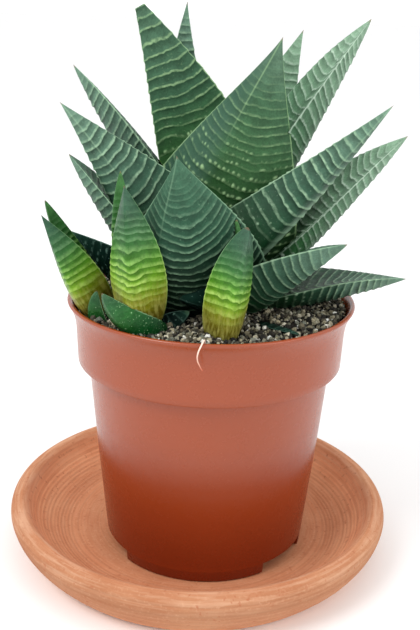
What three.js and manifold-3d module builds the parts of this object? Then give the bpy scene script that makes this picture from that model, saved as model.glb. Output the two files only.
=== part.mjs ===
// Potted haworthia: a rosette of thick, cross-ridged leaves with its offsets, in a plastic nursery
// pot that stands on a clay saucer. Millimetres, +Z up, origin at the middle of the saucer's underside.
// X runs to the right and Y away from the front, which is the side with the three offsets.
import * as THREE from "three";
import { mergeVertices } from "three/addons/utils/BufferGeometryUtils.js";
import Module from "manifold-3d";

const wasm = await Module();
wasm.setup();

// Fits
const CLEAR = 0.3; // gap between pieces that touch
const LEAF_CLEAR = 0.45; // gap between leaves where they press on each other
const FINEST = 0.1; // detail of a leaf smaller than this is left out
const FINEST_SOIL = 0.2;
const JOIN = 1e-3; // points closer than this are one

// Clay saucer
const SAUCER_BASE_R = 53.7;
const SAUCER_WIDEST_R = 63.6;
const SAUCER_WIDEST_Z = 14.3;
const SAUCER_CREST_R = 60.6;
const SAUCER_CREST_Z = 17.4;
const SAUCER_INNER_R = 57.4;
const SAUCER_FLOOR_R = 42;
const SAUCER_FLOOR_Z = 5.2;
const SAUCER_SEGMENTS = 44;

// Nursery pot, which stands a little off the middle of the saucer
const POT_X = 2.4;
const POT_Y = -5;
const POT_BOTTOM_Z = SAUCER_FLOOR_Z + CLEAR;
const POT_TOP_Z = 88.8;
const POT_RIM_R = 45;
const COLLAR_R = 41.9;
const COLLAR_BOTTOM_Z = 68.5;
const WALL_TOP_R = 38.5;
const FOOT_R = 32.8;
const WALL = 1.3;
const POT_FLOOR_Z = 9.6;
const POT_FLOOR = 1.4;
const FOOT_COUNT = 3;
const NOTCH_TURN = 37; // degrees of the foot ring that each gap takes
const NOTCH_HEIGHT = 3.6;
const FIRST_NOTCH = 54; // degrees to the right of the front
const DRAIN_R = 3;
const DRAIN_PLACE_R = 27;
const POT_SEGMENTS = 24;

// Gritty soil
const SOIL_Z = 87;
const SOIL_RINGS = 6;
const SOIL_SEGMENTS = 24;
const GRIT = 0.9; // height of the grit's relief
const SOIL_HEAP = 1.2; // the soil lies higher to the right
const SOIL_SEED = 7;

// Short stem that carries the rosette
const STEM_X = 3;
const STEM_Y = -1;
const STEM_BOTTOM_Z = 72;
const STEM_R = 7.5;
const STEM_TOP_Z = 112;

// Ridges across the leaves
const RIDGE_STEP = 6;
const RIDGE_HEIGHT = 0.6;
const PUP_RIDGE_STEP = 3.8;
const PUP_RIDGE_HEIGHT = 0.35;
const RIDGE_FALL = 0.22; // share of a step in which a ridge drops on its root side
const RIDGE_ARC = 0.8; // how strongly a ridge curves round the tip, 1 being a full arc
const HULL_ROWS = 14; // rows of points along the plain hull that keeps other leaves clear

// Colours
const COLOURS = {
  clay: { color: 0xc78259, roughness: 0.9 },
  plastic: { color: 0xb05a3c, roughness: 0.4 },
  soil: { color: 0x4b433b, roughness: 1 },
  leaf: { color: 0x3f6f52, roughness: 0.55 },
  pup: { color: 0x7da53a, roughness: 0.5 },
  root: { color: 0xe3c4b4, roughness: 0.7 },
};

function material(name) {
  return new THREE.MeshStandardMaterial({ metalness: 0, ...COLOURS[name] });
}

// A closed geometry as a solid, with faces that lost their area left out.
function solidOf(geometry) {
  const bare = new THREE.BufferGeometry();
  bare.setAttribute("position", geometry.getAttribute("position"));
  if (geometry.index) bare.setIndex(geometry.index);
  const merged = mergeVertices(bare, JOIN);
  const corners = merged.index.array;
  const faces = [];
  for (let i = 0; i < corners.length; i += 3) {
    const [a, b, c] = corners.subarray(i, i + 3);
    if (a !== b && b !== c && c !== a) faces.push(a, b, c);
  }
  const made = build(merged.getAttribute("position").array, faces);
  if (made.volume() > 0) return made;
  for (let i = 0; i < faces.length; i += 3) [faces[i + 1], faces[i + 2]] = [faces[i + 2], faces[i + 1]];
  return build(merged.getAttribute("position").array, faces);
}

function build(points, faces) {
  return new wasm.Manifold(
    new wasm.Mesh({
      numProp: 3,
      vertProperties: new Float32Array(points),
      triVerts: new Uint32Array(faces),
    }),
  );
}

function geometryOf(solid) {
  const mesh = solid.getMesh();
  const geometry = new THREE.BufferGeometry();
  geometry.setAttribute("position", new THREE.BufferAttribute(mesh.vertProperties, 3));
  geometry.setIndex(new THREE.BufferAttribute(mesh.triVerts, 1));
  return geometry;
}

// The largest body of a solid that cuts may have left in several, without slivers.
function largest(solid, finest) {
  const bodies = solidOf(geometryOf(solid.simplify(finest))).decompose();
  return bodies.reduce((best, body) => (body.volume() > best.volume() ? body : best));
}

// A profile of [radius, height] points turned round the vertical through (x, y).
function turned(profile, segments, x = 0, y = 0) {
  const points = profile.map(([r, z]) => new THREE.Vector2(r, z));
  return new THREE.LatheGeometry(points, segments).rotateX(Math.PI / 2).translate(x, y, 0);
}

// Saucer: flat underside, outer wall curving out to a thick rounded rim, dished inside.
function saucer() {
  const profile = [
    [0, 0],
    [SAUCER_BASE_R, 0],
    [SAUCER_BASE_R + 3, 2],
    [SAUCER_BASE_R + 7, 6.6],
    [SAUCER_WIDEST_R - 0.5, 11],
    [SAUCER_WIDEST_R, SAUCER_WIDEST_Z],
    [SAUCER_WIDEST_R - 0.8, SAUCER_WIDEST_Z + 2],
    [SAUCER_CREST_R + 0.8, SAUCER_CREST_Z - 0.2],
    [SAUCER_CREST_R - 1, SAUCER_CREST_Z],
    [SAUCER_INNER_R + 0.9, SAUCER_CREST_Z - 0.7],
    [SAUCER_INNER_R, SAUCER_CREST_Z - 2],
    [SAUCER_INNER_R - 2.2, SAUCER_CREST_Z - 5.6],
    [SAUCER_INNER_R - 6, SAUCER_FLOOR_Z + 2.9],
    [SAUCER_INNER_R - 11, SAUCER_FLOOR_Z + 0.7],
    [SAUCER_FLOOR_R, SAUCER_FLOOR_Z],
    [0, SAUCER_FLOOR_Z],
  ];
  return solidOf(turned(profile, SAUCER_SEGMENTS));
}

// A round plug through the pot's floor, at a turn from the front.
function drainHole(turn) {
  const [x, y] = roundThePot(turn, DRAIN_PLACE_R);
  const plug = new THREE.CylinderGeometry(DRAIN_R, DRAIN_R, 4 * POT_FLOOR, 8).rotateX(Math.PI / 2);
  return solidOf(plug.translate(x, y, POT_FLOOR_Z));
}

// A place round the pot, at a turn in degrees from the front to the right.
function roundThePot(turn, radius) {
  const angle = THREE.MathUtils.degToRad(turn - 90);
  return [POT_X + radius * Math.cos(angle), POT_Y + radius * Math.sin(angle)];
}

// The wedge that opens the foot ring below the wall.
function footNotch(turn) {
  const reach = FOOT_R + 4;
  const shape = new THREE.Shape();
  shape.moveTo(POT_X, POT_Y);
  for (let i = 0; i <= 4; i += 1) shape.lineTo(...roundThePot(turn + NOTCH_TURN * (i / 4 - 0.5), reach));
  const wedge = new THREE.ExtrudeGeometry(shape, { depth: NOTCH_HEIGHT + 1, bevelEnabled: false });
  return solidOf(wedge.translate(0, 0, POT_BOTTOM_Z - 1));
}

// Pot: tapered wall, a tall collar that flares to the rim, and three feet under a raised floor.
function pot() {
  const innerTop = POT_RIM_R - 1.6;
  const profile = [
    [0, POT_FLOOR_Z],
    [FOOT_R - WALL, POT_FLOOR_Z],
    [FOOT_R - WALL, POT_BOTTOM_Z],
    [FOOT_R, POT_BOTTOM_Z],
    [WALL_TOP_R, COLLAR_BOTTOM_Z],
    [COLLAR_R, COLLAR_BOTTOM_Z],
    [COLLAR_R + 0.4, POT_TOP_Z - 8.8],
    [COLLAR_R + 1.3, POT_TOP_Z - 4],
    [POT_RIM_R, POT_TOP_Z - 1],
    [POT_RIM_R - 0.3, POT_TOP_Z],
    [innerTop, POT_TOP_Z],
    [COLLAR_R + 0.4 - WALL, POT_TOP_Z - 8.8],
    [COLLAR_R - WALL, COLLAR_BOTTOM_Z + WALL],
    [WALL_TOP_R - WALL, COLLAR_BOTTOM_Z - 1],
    [FOOT_R - 0.9, POT_FLOOR_Z + POT_FLOOR],
    [0, POT_FLOOR_Z + POT_FLOOR],
  ];
  let made = solidOf(turned(profile, POT_SEGMENTS, POT_X, POT_Y));
  for (let i = 0; i < FOOT_COUNT; i += 1) {
    const turn = FIRST_NOTCH + (360 / FOOT_COUNT) * i;
    made = made.subtract(footNotch(turn)).subtract(drainHole(turn));
  }
  return made;
}

// Soil: it fills the pot to just under the rim, and its top is rough with grit.
function soil() {
  const innerTop = COLLAR_R - CLEAR - 0.3;
  const profile = [
    [0, POT_FLOOR_Z + POT_FLOOR + CLEAR],
    [FOOT_R - 1.5, POT_FLOOR_Z + POT_FLOOR + CLEAR],
    [WALL_TOP_R - WALL - CLEAR - 0.1, COLLAR_BOTTOM_Z - 1],
    [COLLAR_R - WALL - CLEAR - 0.1, COLLAR_BOTTOM_Z + WALL + CLEAR],
    [COLLAR_R - WALL - CLEAR + 0.2, POT_TOP_Z - 8.8],
    [innerTop, SOIL_Z - 2],
  ];
  for (let i = 0; i <= SOIL_RINGS; i += 1) profile.push([innerTop * (1 - i / SOIL_RINGS), SOIL_Z]);
  const geometry = turned(profile, SOIL_SEGMENTS);
  const places = geometry.getAttribute("position");
  for (let i = 0; i < places.count; i += 1) {
    if (places.getZ(i) > SOIL_Z - 0.1) places.setZ(i, soilHeight(places.getX(i), places.getY(i)));
  }
  return solidOf(geometry.translate(POT_X, POT_Y, 0));
}

// Height of the soil at a place measured from the pot's axis.
function soilHeight(x, y) {
  const edge = THREE.MathUtils.clamp((COLLAR_R - Math.hypot(x, y)) / 4, 0, 1);
  const heap = SOIL_HEAP * Math.max(0, (x - Math.abs(y) * 0.5) / POT_RIM_R);
  return SOIL_Z - 1 + edge * (0.6 + heap + GRIT * (grain(x, y) - 0.5));
}

// A fixed random value between 0 and 1 for each place, the same on every build.
function grain(x, y) {
  const cell = Math.sin(Math.round(x * 10) * 12.9898 + Math.round(y * 10) * 78.233 + SOIL_SEED) * 43758.5453;
  return cell - Math.floor(cell);
}

// Stem: a short tapering column, round at its foot and pointed among the youngest leaves.
function stem(growth) {
  const profile = [
    [0, STEM_BOTTOM_Z - growth],
    [STEM_R * 0.6 + growth, STEM_BOTTOM_Z - growth],
    [STEM_R + growth, STEM_BOTTOM_Z + 8],
    [STEM_R + growth, SOIL_Z + 8],
    [STEM_R * 0.7 + growth, SOIL_Z + 17],
    [0.8 + growth, STEM_TOP_Z + growth],
    [0, STEM_TOP_Z + growth],
  ];
  return solidOf(turned(profile, 16, STEM_X, STEM_Y));
}

// A leaf is given by where its root and tip lie, the way its back looks in degrees from +X, its
// width and thickness, how far its middle bows out to the back and to the side, its twist in
// degrees from root to tip, how full it is near the root, how its margins close on the tip, where
// the keel runs between the margins (-1 to 1), and the hollow of its face as a share of its width.
const LEAF_SHAPE = { bow: 3, side: 0, twist: 0, full: 0.25, taper: 1.05, keel: 0, hollow: 0.15, end: 1 };
const PUP_SHAPE = { ...LEAF_SHAPE, bow: 2, full: 0.4, taper: 0.8, pup: true };

const LEAVES = [
  { name: "young_leaf_left", ...PUP_SHAPE, root: [-10.5, -33.8, 86], tip: [-28, -36.8, 98.2], back: -100,
    width: 12, thick: 3, bow: 1.8, side: -1.5 },
  { name: "leaf_front_low", ...LEAF_SHAPE, root: [11, -20.5, 95.5], tip: [-9.2, -27, 96.4], back: -98,
    width: 16, thick: 4, bow: 1, full: 0.4, taper: 0.8 },
  { name: "pup_centre_outer_leaf", ...PUP_SHAPE, root: [-18, -26.5, 81.5], tip: [-22, -35, 128.5], back: -99,
    width: 16.5, thick: 8, side: 2, full: 0.79, taper: 1.08, hollow: 0 },
  { name: "pup_centre_inner_leaf", ...PUP_SHAPE, root: [-16.5, -25, 81.5], tip: [-23.5, -30, 131.5], back: 87,
    width: 9, thick: 4, side: 2 },
  { name: "pup_left_outer_leaf", ...PUP_SHAPE, root: [-29.5, -13.5, 82], tip: [-48, -19, 116], back: -90,
    width: 13, thick: 9, bow: 1, side: 1.5, full: 0.68, taper: 1.2, hollow: 0 },
  { name: "pup_left_inner_leaf", ...PUP_SHAPE, root: [-27, -9.5, 82], tip: [-47.5, -15, 119.5], back: 127,
    width: 9, thick: 4 },
  { name: "pup_right_outer_leaf", ...PUP_SHAPE, root: [6, -32, 82], tip: [12, -35, 118], back: -82,
    width: 13, thick: 9, bow: 1.5, side: -2, full: 0.46, taper: 0.64, hollow: 0 },
  { name: "pup_right_inner_leaf", ...PUP_SHAPE, root: [5, -28.5, 82], tip: [9, -30.5, 119], back: 75,
    width: 12, thick: 4, bow: 1 },
  { name: "young_leaf_far_left", ...PUP_SHAPE, root: [-28.5, -22.5, 83], tip: [-30.9, -26, 95.5], back: -150,
    width: 8, thick: 3, bow: 1 },
  { name: "young_leaf_middle", ...PUP_SHAPE, root: [-11.5, -27, 86], tip: [-3.7, -28, 90.8], back: -100,
    width: 6.5, thick: 3, bow: 0.5 },
  { name: "fallen_leaf_tip", ...PUP_SHAPE, root: [17, -25.5, 87.2], tip: [28, -36.3, 87.8], back: -45,
    width: 3.5, thick: 1.6, bow: 0, hollow: 0 },
  { name: "leaf_front", ...LEAF_SHAPE, root: [-0.5, -12, 86], tip: [-8, -32.5, 136.5], back: -90,
    width: 41, thick: 7, bow: 3, side: 1, twist: -5, full: 0.69, taper: 1.27, keel: -0.5 },
  { name: "leaf_right_lower", ...LEAF_SHAPE, root: [5.5, -10, 91], tip: [40, -32.5, 113.5], back: -41,
    width: 25, thick: 9, bow: -3, side: -2.5, twist: 8, full: 0.4, taper: 1, keel: 0.15 },
  { name: "leaf_right_upper", ...LEAF_SHAPE, root: [0, -13, 101], tip: [51.5, -20, 150.5], back: -100,
    width: 22.5, thick: 8.5, bow: 2.5, twist: -13, full: 0.05, taper: 1, keel: 0.2 },
  { name: "leaf_left_upper", ...LEAF_SHAPE, root: [-0.5, -4, 98.5], tip: [-42.5, -15, 148], back: -53,
    width: 28.5, thick: 8, bow: 3.5, side: 1, twist: 8, full: 0.16, taper: 1.08, keel: -0.25 },
  { name: "leaf_centre", ...LEAF_SHAPE, root: [-1, -4, 95.2], tip: [20.7, -5, 167.4], back: -110,
    width: 51.5, thick: 7, bow: 2.5, twist: -5, taper: 1.2, keel: -0.3 },
  { name: "leaf_right_low", ...LEAF_SHAPE, root: [14, -3, 91], tip: [61.5, -13, 98.5], back: -7,
    width: 30, thick: 6, bow: -1.5, side: 1, twist: -17, full: 0.36 },
  { name: "leaf_left_lower", ...LEAF_SHAPE, root: [-7, -4.5, 91.5], tip: [-40, -16, 133.5], back: -170,
    width: 27.5, thick: 6, bow: -1.5, side: -2, twist: -7, full: 0.38, taper: 1 },
  { name: "leaf_right_middle", ...LEAF_SHAPE, root: [11, -2.5, 97], tip: [59, -6.5, 140.5], back: 7,
    width: 30, thick: 8, bow: -0.5, side: 5, twist: 6, full: 0.41, keel: -0.1 },
  { name: "leaf_left_low", ...LEAF_SHAPE, root: [-7.5, -3, 87.5], tip: [-45.5, -2.5, 108.5], back: -138,
    width: 27, thick: 6, bow: 0.5, side: 1, twist: 2, full: 0.22, keel: -0.1 },
  { name: "leaf_left_back", ...LEAF_SHAPE, root: [1.5, 3, 104], tip: [-42, 7.5, 157], back: -174,
    width: 29, thick: 7, bow: -2.5, twist: 2, full: 0.44, taper: 1, keel: -0.1 },
  { name: "leaf_right_high", ...LEAF_SHAPE, root: [3, 4.5, 102], tip: [47.5, 7, 173], back: -2,
    width: 34, thick: 8, bow: -5, side: -0.5, twist: 15, full: 0.6, taper: 1, hollow: 0.19 },
  { name: "leaf_cut_tip", ...LEAF_SHAPE, root: [9, 5.5, 102], tip: [-26, 24, 179], back: 76,
    width: 34, thick: 6, bow: 3.5, side: -2.5, end: 0.94 },
  { name: "leaf_back_right", ...LEAF_SHAPE, root: [8, 13, 99.5], tip: [28.5, 20, 169], back: 86,
    width: 27, thick: 6, bow: 2.5, side: 2 },
  { name: "leaf_back_left", ...LEAF_SHAPE, root: [0.5, 15, 99.5], tip: [-8.5, 30, 176.5], back: 105,
    width: 21.5, thick: 5, bow: 3.5, side: 3 },
  { name: "leaf_rear_left", ...LEAF_SHAPE, root: [-2, 5, 92], tip: [-20, 34, 118], back: 120,
    width: 26, thick: 6, bow: 4 },
  { name: "leaf_rear_middle", ...LEAF_SHAPE, root: [3, 7, 93], tip: [8, 46, 131], back: 85,
    width: 27, thick: 7, bow: 4 },
  { name: "leaf_rear_right", ...LEAF_SHAPE, root: [8, 5, 92], tip: [28, 35, 122], back: 55,
    width: 26, thick: 6, bow: 4 },
];

// The lengthwise frame of a leaf: its chord, the way its face looks and the way across it.
function frameOf(leaf) {
  const root = new THREE.Vector3(...leaf.root);
  const chord = new THREE.Vector3(...leaf.tip).sub(root);
  const along = chord.clone().normalize();
  const back = THREE.MathUtils.degToRad(leaf.back);
  const inward = new THREE.Vector3(-Math.cos(back), -Math.sin(back), Math.tan(Math.PI / 6)).normalize();
  const face = inward.addScaledVector(along, -inward.dot(along)).normalize();
  const across = face.clone().cross(along);
  return { root, chord, face, across, length: chord.length() };
}

// Half the width of a leaf at a share s of its length, as a share of its greatest half width.
function outline(leaf, s) {
  const shoulder = 0.03;
  const raw = (t) => (Math.max(t, 0) + shoulder) ** leaf.full * Math.max(1 - t, 0) ** leaf.taper;
  const widest = Math.max((leaf.full - leaf.taper * shoulder) / (leaf.full + leaf.taper), 0);
  return raw(s) / raw(widest);
}

// A point of a leaf: s along it, u across it from -1 to 1, on its back or its face, raised by the
// height of a ridge there and by a growth all round.
function leafPoint(leaf, frame, s, u, onBack, raised, growth) {
  const share = outline(leaf, s);
  const half = (leaf.width / 2) * share + growth;
  const swell = 4 * s * (1 - s);
  const middle = frame.root.clone().addScaledVector(frame.chord, s);
  middle.addScaledVector(frame.face, -leaf.bow * swell).addScaledVector(frame.across, leaf.side * swell);
  const slope = 4 * (1 - 2 * s);
  const run = frame.chord.clone().addScaledVector(frame.face, -leaf.bow * slope);
  run.addScaledVector(frame.across, leaf.side * slope).normalize();
  const face = frame.face.clone().addScaledVector(run, -frame.face.dot(run)).normalize();
  const across = face.clone().cross(run);
  const turn = THREE.MathUtils.degToRad(leaf.twist * s);
  face.applyAxisAngle(run, turn);
  across.applyAxisAngle(run, turn);
  let depth = -leaf.hollow * half * (1 - u * u);
  if (onBack) {
    const fromKeel = u > leaf.keel ? (u - leaf.keel) / (1 - leaf.keel) : (leaf.keel - u) / (1 + leaf.keel);
    const round = 2 - 0.85 * s;
    depth -= leaf.thick * share ** 0.8 * (1 - fromKeel ** round) + raised + growth;
  } else depth += raised + growth;
  return middle.addScaledVector(across, half * u).addScaledVector(face, depth);
}

// Where a point lies along a leaf when it is a given distance from the tip, so that ridges curve.
function alongAt(leaf, length, fromTip, u) {
  let s = 1 - fromTip / length;
  for (let i = 0; i < 3; i += 1) {
    const half = (leaf.width / 2) * outline(leaf, s) * u;
    s = 1 - Math.sqrt(Math.max(fromTip ** 2 - RIDGE_ARC * half ** 2, (0.6 * fromTip) ** 2)) / length;
  }
  return s;
}

// Rows of points from the tip to the root: how far each is from the tip, and how far it is raised.
function ridgeRows(leaf, length) {
  const step = leaf.pup ? PUP_RIDGE_STEP : RIDGE_STEP;
  const height = leaf.pup ? PUP_RIDGE_HEIGHT : RIDGE_HEIGHT;
  const last = length * (1 - leaf.end);
  const rows = [];
  const count = Math.round((length - last) / step);
  const even = (length - last) / count;
  rows.push([last + 0.35 * even, 0]);
  for (let i = 1; i < count; i += 1) {
    const small = Math.min(1, (i + 1) / 4);
    rows.push([last + i * even, height * small]);
    rows.push([last + (i + RIDGE_FALL) * even, 0]);
  }
  rows.push([length, 0]);
  return rows;
}

// Rows of a plain hull, which starts past the tip and ends past the root.
function hullRows(leaf, length, growth) {
  const height = leaf.pup ? PUP_RIDGE_HEIGHT : RIDGE_HEIGHT;
  const first = length * (1 - leaf.end) - growth;
  const reach = length + growth - first;
  const rows = [];
  for (let i = 0; i <= HULL_ROWS; i += 1) rows.push([first + reach * (i / HULL_ROWS) ** 1.3, height]);
  return rows;
}

// One leaf as a closed solid. Without growth it has its ridges and sharp margins; with growth it is
// a plain hull that holds the ridged leaf with that much room to spare.
function blade(leaf, growth = 0) {
  const plain = growth > 0;
  const frame = frameOf(leaf);
  const length = frame.length;
  const { keel } = leaf;
  const backRow = [-1, -1 + 0.5 * (keel + 1), keel, keel + 0.5 * (1 - keel), 1];
  const faceRow = plain ? [1, 0.55, 0, -0.55, -1] : [0.55, 0, -0.55];
  const ring = [...backRow.map((u) => [u, true]), ...faceRow.map((u) => [u, false])];
  const rows = plain ? hullRows(leaf, length, growth) : ridgeRows(leaf, length);
  const points = [];
  const faces = [];
  for (const [fromTip, raised] of rows) {
    for (const [u, onBack] of ring) {
      const curved = !plain && fromTip < length;
      const s = curved ? Math.max(alongAt(leaf, length, fromTip, u), 0) : 1 - fromTip / length;
      const lift = raised * (1 - u ** 4);
      points.push(...leafPoint(leaf, frame, s, u, onBack, lift, growth).toArray());
    }
  }
  const n = ring.length;
  for (let r = 0; r + 1 < rows.length; r += 1) {
    for (let i = 0; i < n; i += 1) {
      const a = r * n + i;
      const b = r * n + ((i + 1) % n);
      faces.push(a, b, a + n, b, b + n, a + n);
    }
  }
  const past = growth / length;
  const tipPoint = leafPoint(leaf, frame, leaf.end + past, keel, true, 0, 0);
  const rootPoint = leafPoint(leaf, frame, -past, keel, false, 0, 0);
  const tip = points.length / 3;
  points.push(...tipPoint.toArray(), ...rootPoint.toArray());
  for (let i = 0; i < n; i += 1) {
    const j = (i + 1) % n;
    const base = (rows.length - 1) * n;
    faces.push(tip, j, i, tip + 1, base + i, base + j);
  }
  const geometry = new THREE.BufferGeometry();
  geometry.setAttribute("position", new THREE.Float32BufferAttribute(points, 3));
  geometry.setIndex(faces);
  return solidOf(geometry);
}

// Whether two solids' boxes meet.
function near(a, b) {
  const [p, q] = [a.boundingBox(), b.boundingBox()];
  return [0, 1, 2].every((k) => p.min[k] < q.max[k] && q.min[k] < p.max[k]);
}

// The stray root: a pale thread from the soil over the front of the rim.
function strayRoot() {
  const path = new THREE.CatmullRomCurve3(
    [
      [2.2, -46.4, POT_TOP_Z - 2.6],
      [2, -48, POT_TOP_Z + 0.4],
      [1.6, -49.4, POT_TOP_Z + 0.8],
      [0.8, -50.6, POT_TOP_Z + 0.1],
      [-0.1, -50.9, POT_TOP_Z - 2],
      [-0.1, -50.3, POT_TOP_Z - 4.4],
      [0.6, -49.7, POT_TOP_Z - 6.4],
    ].map((p) => new THREE.Vector3(...p)),
  );
  const section = new THREE.Shape();
  section.absarc(0, 0, 0.34, 0, 2 * Math.PI);
  return solidOf(
    new THREE.ExtrudeGeometry(section, { steps: 22, extrudePath: path, curveSegments: 3, bevelEnabled: false }),
  );
}

const plant = new THREE.Group();

function add(name, solid, finish) {
  const mesh = new THREE.Mesh(geometryOf(solid), material(finish));
  mesh.name = name;
  plant.add(mesh);
}

const stemSolid = stem(0);
const stemRoom = stem(CLEAR);
const rooms = [];
for (const leaf of LEAVES) {
  let made = blade(leaf).subtract(stemRoom);
  for (const room of rooms) if (near(made, room)) made = made.subtract(room);
  rooms.push(blade(leaf, LEAF_CLEAR));
  add(leaf.name, largest(made, FINEST), leaf.pup ? "pup" : "leaf");
}
let bed = soil().subtract(stemRoom);
for (const room of rooms) if (near(bed, room)) bed = bed.subtract(room);
add("saucer", saucer(), "clay");
add("pot", pot(), "plastic");
add("soil", largest(bed, FINEST_SOIL), "soil");
add("stem", stemSolid, "leaf");
add("stray_root", strayRoot(), "root");

export default plant;
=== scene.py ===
import bmesh
import bpy
import numpy as np
from math import cos, pi, radians, sin
from mathutils import Matrix, Vector
from mathutils.bvhtree import BVHTree


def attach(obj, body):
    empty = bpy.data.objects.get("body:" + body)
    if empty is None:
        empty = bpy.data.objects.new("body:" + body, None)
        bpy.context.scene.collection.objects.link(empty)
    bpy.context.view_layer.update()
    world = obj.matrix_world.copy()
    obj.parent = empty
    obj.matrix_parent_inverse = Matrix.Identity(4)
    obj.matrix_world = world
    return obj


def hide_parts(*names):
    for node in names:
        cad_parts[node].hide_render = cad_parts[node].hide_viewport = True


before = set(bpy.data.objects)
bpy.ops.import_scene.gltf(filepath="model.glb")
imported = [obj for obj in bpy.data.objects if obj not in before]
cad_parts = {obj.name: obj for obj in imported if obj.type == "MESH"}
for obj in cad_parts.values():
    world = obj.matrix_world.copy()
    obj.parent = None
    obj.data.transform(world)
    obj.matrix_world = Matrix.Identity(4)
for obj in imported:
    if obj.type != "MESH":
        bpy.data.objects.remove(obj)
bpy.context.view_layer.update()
MM = 0.001

# Camera
# The view of the photograph: from the front, a third of a metre away and a little above the leaves,
# looking down at the pot.
CAMERA_PLACE = Vector((4.284, -278.007, 174.659)) * MM
CAMERA_DOWN = radians(18.735)
CAMERA_TURN = radians(-0.444)
CAMERA_ROLL = radians(1.798)
CAMERA_LENS = 51.76

camera_data = bpy.data.cameras.new("camera")
camera_data.lens = CAMERA_LENS
camera_data.sensor_width = 36
camera_data.clip_start = 0.01
camera_data.clip_end = 100
camera = bpy.data.objects.new("camera", camera_data)
bpy.context.collection.objects.link(camera)
camera.matrix_world = (
    Matrix.Translation(CAMERA_PLACE)
    @ Matrix.Rotation(-CAMERA_TURN, 4, "Z")
    @ Matrix.Rotation(pi / 2 - CAMERA_DOWN, 4, "X")
    @ Matrix.Rotation(CAMERA_ROLL, 4, "Z")
)
bpy.context.scene.camera = camera

# Floor and light
# A plain pale floor under a bright even sky, with one large soft lamp at the upper left and a weaker
# one at the right, as in a white photo tent.
FLOOR_SIZE = 30.0
SKY_STRENGTH = 1.15
LAMP_AIM = (0, 0, 0.1)
KEY_PLACE = (-0.55, -0.45, 0.85)
KEY_SIZE = 0.5
KEY_WATTS = 5.0
FILL_PLACE = (0.7, -0.5, 0.5)
FILL_SIZE = 0.6
FILL_WATTS = 2.0


def finish(name, roughness, specular=0.5):
    """A new material, a function that adds nodes to it, and one that joins them to its shader. A socket
    of a node is given by its name, or by i and its number."""
    material = bpy.data.materials.new(name)
    material.use_nodes = True
    tree = material.node_tree
    shader = tree.nodes["Principled BSDF"]
    shader.inputs["Roughness"].default_value = roughness
    shader.inputs["Specular IOR Level"].default_value = specular

    def add(kind, settings=None, **sockets):
        made = tree.nodes.new("ShaderNode" + kind)
        for key, value in (settings or {}).items():
            setattr(made, key, value)
        for key, value in sockets.items():
            numbered = key[0] == "i" and key[1:].isdigit()
            socket = made.inputs[int(key[1:]) if numbered else key]
            if isinstance(value, bpy.types.NodeSocket):
                tree.links.new(value, socket)
            else:
                socket.default_value = value
        return made

    def link(source, target):
        tree.links.new(source, shader.inputs[target])

    return material, add, link


def ramp(add, value, stops):
    """A colour ramp over a value, from (position, colour) stops."""
    made = add("ValToRGB", Fac=value)
    elements = made.color_ramp.elements
    while len(elements) < len(stops):
        elements.new(0.5)
    for element, (position, colour) in zip(elements, stops):
        element.position = position
        element.color = colour
    return made.outputs["Color"]


def grey(value):
    """A colour without hue."""
    return (value, value, value, 1)


def noise(add, place, scale, detail=2.0, roughness=0.5):
    """Soft random values from 0 to 1."""
    return add("TexNoise", Vector=place, Scale=scale, Detail=detail, Roughness=roughness).outputs["Fac"]


floor_form = bmesh.new()
bmesh.ops.create_grid(floor_form, x_segments=1, y_segments=1, size=FLOOR_SIZE / 2)
floor_mesh = bpy.data.meshes.new("floor")
floor_form.to_mesh(floor_mesh)
floor_form.free()
floor = bpy.data.objects.new("floor", floor_mesh)
bpy.context.collection.objects.link(floor)
floor_paint, add, link = finish("floor_paint", 0.9, 0.1)
floor_place = add("TexCoord").outputs["Object"]
link(ramp(add, noise(add, floor_place, 3.0), [(0.0, grey(0.86)), (1.0, grey(0.88))]), "Base Color")
floor_mesh.materials.append(floor_paint)

world = bpy.data.worlds.new("tent")
world.use_nodes = True
world.node_tree.nodes["Background"].inputs["Color"].default_value = (1, 1, 1, 1)
world.node_tree.nodes["Background"].inputs["Strength"].default_value = SKY_STRENGTH
bpy.context.scene.world = world
bpy.context.scene.view_settings.view_transform = "Standard"


def lamp(name, place, size, watts):
    """A round soft lamp that looks at the pot."""
    data = bpy.data.lights.new(name, "AREA")
    data.shape = "DISK"
    data.size = size
    data.energy = watts
    made = bpy.data.objects.new(name, data)
    bpy.context.collection.objects.link(made)
    turn = (Vector(LAMP_AIM) - Vector(place)).to_track_quat("-Z", "Y").to_matrix().to_4x4()
    made.matrix_world = Matrix.Translation(place) @ turn


lamp("key_lamp", KEY_PLACE, KEY_SIZE, KEY_WATTS)
lamp("fill_lamp", FILL_PLACE, FILL_SIZE, FILL_WATTS)

# Saucer
# One piece of red clay thrown on a wheel and fired without glaze: matt, with fine turning lines on
# the inside, and chalky streaks and worn marks that run round the rim.
SAUCER_PROFILE = [
    (53.7, 0.0), (54.8, 0.35), (56.7, 2.0), (60.7, 6.6), (63.0, 11.0), (63.55, 14.3), (62.75, 16.3),
    (61.4, 17.2), (59.6, 17.38), (58.3, 16.7), (57.4, 15.4), (55.2, 11.8), (51.4, 8.1), (46.4, 5.9),
    (42.0, 5.2),
]
SAUCER_STEPS = 200
SAUCER_RAMP_REACH = 64
SAUCER_RAMP_HEIGHT = 20
SAUCER_FLOOR = 5.2
TURNED_FROM = 43.5
TURNED_TO = 56.8
TURNED_ABOVE = 5.0
TURNED_BELOW = 14.6
TURNING_PITCH = 1.15
TURNING_DEPTH = 0.07
STEP_RADIUS = 55.9
STEP_WIDTH = 0.35
STEP_HEIGHT = 0.16
STREAK_TURN = 4.0
STREAK_FINE = 800.0


def paint(red, green, blue):
    """A colour given in the 0 to 255 of a paint chart, as the shader's linear values."""
    shares = [c / 255 for c in (red, green, blue)]
    return tuple(c / 12.92 if c < 0.04045 else ((c + 0.055) / 1.055) ** 2.4 for c in shares) + (1,)


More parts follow.
